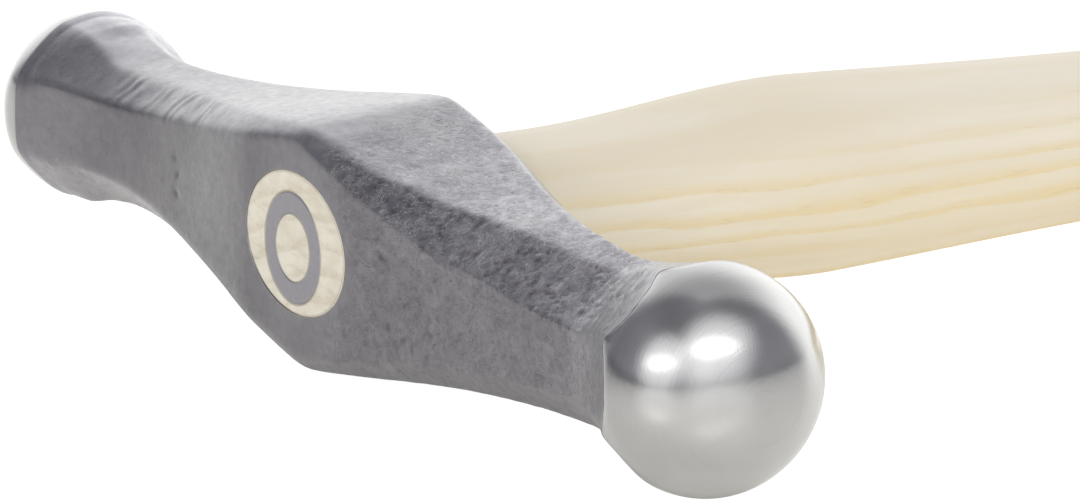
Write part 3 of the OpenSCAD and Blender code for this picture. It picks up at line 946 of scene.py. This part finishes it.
cam_data = bpy.data.cameras.new("camera")
cam = bpy.data.objects.new("camera", cam_data)
scene.collection.objects.link(cam)
az, el, roll = math.radians(58.983), math.radians(14.735), math.radians(0.624)
b = Vector((math.sin(az) * math.cos(el), -math.cos(az) * math.cos(el), math.sin(el)))
right = Vector((math.cos(az), math.sin(az), 0.0))
up = b.cross(right)
r = right * math.cos(roll) + up * math.sin(roll)
u = up * math.cos(roll) - right * math.sin(roll)
pos = Vector((0.66167, -0.36326, 0.19764))
cam.matrix_world = Matrix(((r.x, u.x, b.x, pos.x), (r.y, u.y, b.y, pos.y), (r.z, u.z, b.z, pos.z), (0, 0, 0, 1)))
cam_data.sensor_width = 36.0
cam_data.sensor_fit = "HORIZONTAL"
cam_data.lens = 215.26
cam_data.clip_start = 0.02
cam_data.clip_end = 30.0
cam_data.dof.use_dof = False
scene.camera = cam

# ------------------------------------------------------------------ light


def soft_box(name, rel, height, dist, wide, tall, radiance, roll=0.0, tint=(1.0, 1.0, 1.0)):
    """An area light rel degrees to the right of the camera's side of the object and height degrees up."""
    a, h = math.radians(-31.0 + rel), math.radians(height)
    d = Vector((math.cos(a) * math.cos(h), math.sin(a) * math.cos(h), math.sin(h)))
    data = bpy.data.lights.new(name, "AREA")
    data.shape = "ELLIPSE"
    data.size, data.size_y = wide, tall
    data.energy = radiance * math.pi * wide * tall * math.pi / 4.0
    data.color = tint
    o = bpy.data.objects.new(name, data)
    scene.collection.objects.link(o)
    o.location = Vector((0.04, 0.02, 0.0)) + d * dist
    turn = d.to_track_quat("Z", "Y") @ Quaternion((0.0, 0.0, 1.0), math.radians(roll))
    o.rotation_euler = turn.to_euler()
    o.visible_camera = False
    return o


# each soft box has a bright middle and weaker, larger surrounds; the glow round it is in the room itself
for part, wide, tall, radiance in (("core", 0.80, 0.26, 2.4), ("middle", 1.15, 0.42, 1.0), ("ring", 1.50, 0.62, 0.55)):
    soft_box("key_" + part, 19.5, 35.5, 1.6, wide, tall, radiance, -11.0)
for part, wide, tall, radiance in (("core", 0.56, 0.15, 2.6), ("middle", 0.84, 0.28, 1.0), ("ring", 1.12, 0.44, 0.55)):
    soft_box("fill_" + part, -42.0, 22.5, 1.6, wide, tall, radiance, 8.0)

world = bpy.data.worlds.new("studio")
scene.world = world
world.use_nodes = True
wt = world.node_tree
wt.nodes.clear()


def wnode(kind, **props):
    n = wt.nodes.new(kind)
    for k, v in props.items():
        setattr(n, k, v)
    return n


coord = wnode("ShaderNodeTexCoord")
flat_dir = wnode("ShaderNodeVectorMath", operation="MULTIPLY")
flat_dir.inputs[1].default_value = (1.0, 1.0, 0.0)
wt.links.new(coord.outputs["Generated"], flat_dir.inputs[0])
unit = wnode("ShaderNodeVectorMath", operation="NORMALIZE")
wt.links.new(flat_dir.outputs[0], unit.inputs[0])
away = math.radians(-31.0 + 169.0)
dot = wnode("ShaderNodeVectorMath", operation="DOT_PRODUCT")
dot.inputs[1].default_value = (math.cos(away), math.sin(away), 0.0)
wt.links.new(unit.outputs[0], dot.inputs[0])
back_mask = wnode("ShaderNodeMapRange", interpolation_type="SMOOTHSTEP")
back_mask.inputs[1].default_value = math.cos(math.radians(74.0))
back_mask.inputs[2].default_value = math.cos(math.radians(40.0))
wt.links.new(dot.outputs["Value"], back_mask.inputs[0])
sep = wnode("ShaderNodeSeparateXYZ")
wt.links.new(coord.outputs["Generated"], sep.inputs[0])
high = wnode("ShaderNodeMapRange", interpolation_type="SMOOTHSTEP")
high.inputs[1].default_value = 0.32
high.inputs[2].default_value = 0.98
high.inputs[3].default_value = 1.0
high.inputs[4].default_value = 0.22
wt.links.new(sep.outputs[2], high.inputs[0])
mask = wnode("ShaderNodeMath", operation="MULTIPLY")
wt.links.new(back_mask.outputs[0], mask.inputs[0])
wt.links.new(high.outputs[0], mask.inputs[1])
# the room on the camera's side: dim, darkest high up, paler again overhead
room = wnode("ShaderNodeValToRGB")
room.color_ramp.interpolation = "EASE"
stops = room.color_ramp.elements
stops[0].position, stops[0].color = 0.0, (0.15, 0.15, 0.17, 1.0)
stops[1].position, stops[1].color = 1.0, (0.30, 0.30, 0.32, 1.0)
for at, v in ((0.04, 0.16), (0.12, 0.30), (0.62, 0.27), (0.86, 0.20), (0.94, 0.20), (0.985, 0.24)):
    el_stop = stops.new(at)
    el_stop.color = (v, v, v * 1.12, 1.0)
wt.links.new(sep.outputs[2], room.inputs[0])
# a glow on the walls round each soft box
glow_sum = None
for rel, height, inner, outer, amount in ((20.0, 35.0, 6.0, 47.0, 0.85), (-43.0, 22.0, 5.0, 34.0, 0.80), (-6.0, 26.0, 8.0, 34.0, 0.12)):
    a, h = math.radians(-31.0 + rel), math.radians(height)
    gd = wnode("ShaderNodeVectorMath", operation="DOT_PRODUCT")
    gd.inputs[1].default_value = (math.cos(a) * math.cos(h), math.sin(a) * math.cos(h), math.sin(h))
    wt.links.new(coord.outputs["Generated"], gd.inputs[0])
    gr = wnode("ShaderNodeMapRange", interpolation_type="SMOOTHERSTEP")
    gr.inputs[1].default_value = math.cos(math.radians(outer))
    gr.inputs[2].default_value = math.cos(math.radians(inner))
    gr.inputs[3].default_value = 0.0
    gr.inputs[4].default_value = amount
    wt.links.new(gd.outputs["Value"], gr.inputs[0])
    if glow_sum is None:
        glow_sum = gr.outputs[0]
    else:
        add = wnode("ShaderNodeMath", operation="ADD")
        wt.links.new(glow_sum, add.inputs[0])
        wt.links.new(gr.outputs[0], add.inputs[1])
        glow_sum = add.outputs[0]
lit_room = wnode("ShaderNodeMix", data_type="RGBA", blend_type="ADD")
lit_room.inputs[0].default_value = 1.0
wt.links.new(room.outputs["Color"], lit_room.inputs[6])
glow_rgb = wnode("ShaderNodeCombineXYZ")
for k in range(3):
    wt.links.new(glow_sum, glow_rgb.inputs[k])
wt.links.new(glow_rgb.outputs[0], lit_room.inputs[7])
shade = wnode("ShaderNodeMix", data_type="RGBA")
wt.links.new(lit_room.outputs[2], shade.inputs[6])
shade.inputs[7].default_value = (1.42, 1.42, 1.42, 1.0)
wt.links.new(mask.outputs[0], shade.inputs[0])
bg = wnode("ShaderNodeBackground")
bg.inputs["Strength"].default_value = 1.0
wt.links.new(shade.outputs[2], bg.inputs["Color"])
wout = wnode("ShaderNodeOutputWorld")
wt.links.new(bg.outputs[0], wout.inputs["Surface"])

scene.view_settings.view_transform = "Standard"
scene.view_settings.look = "None"
scene.view_settings.exposure = 0.13
scene.view_settings.gamma = 1.0
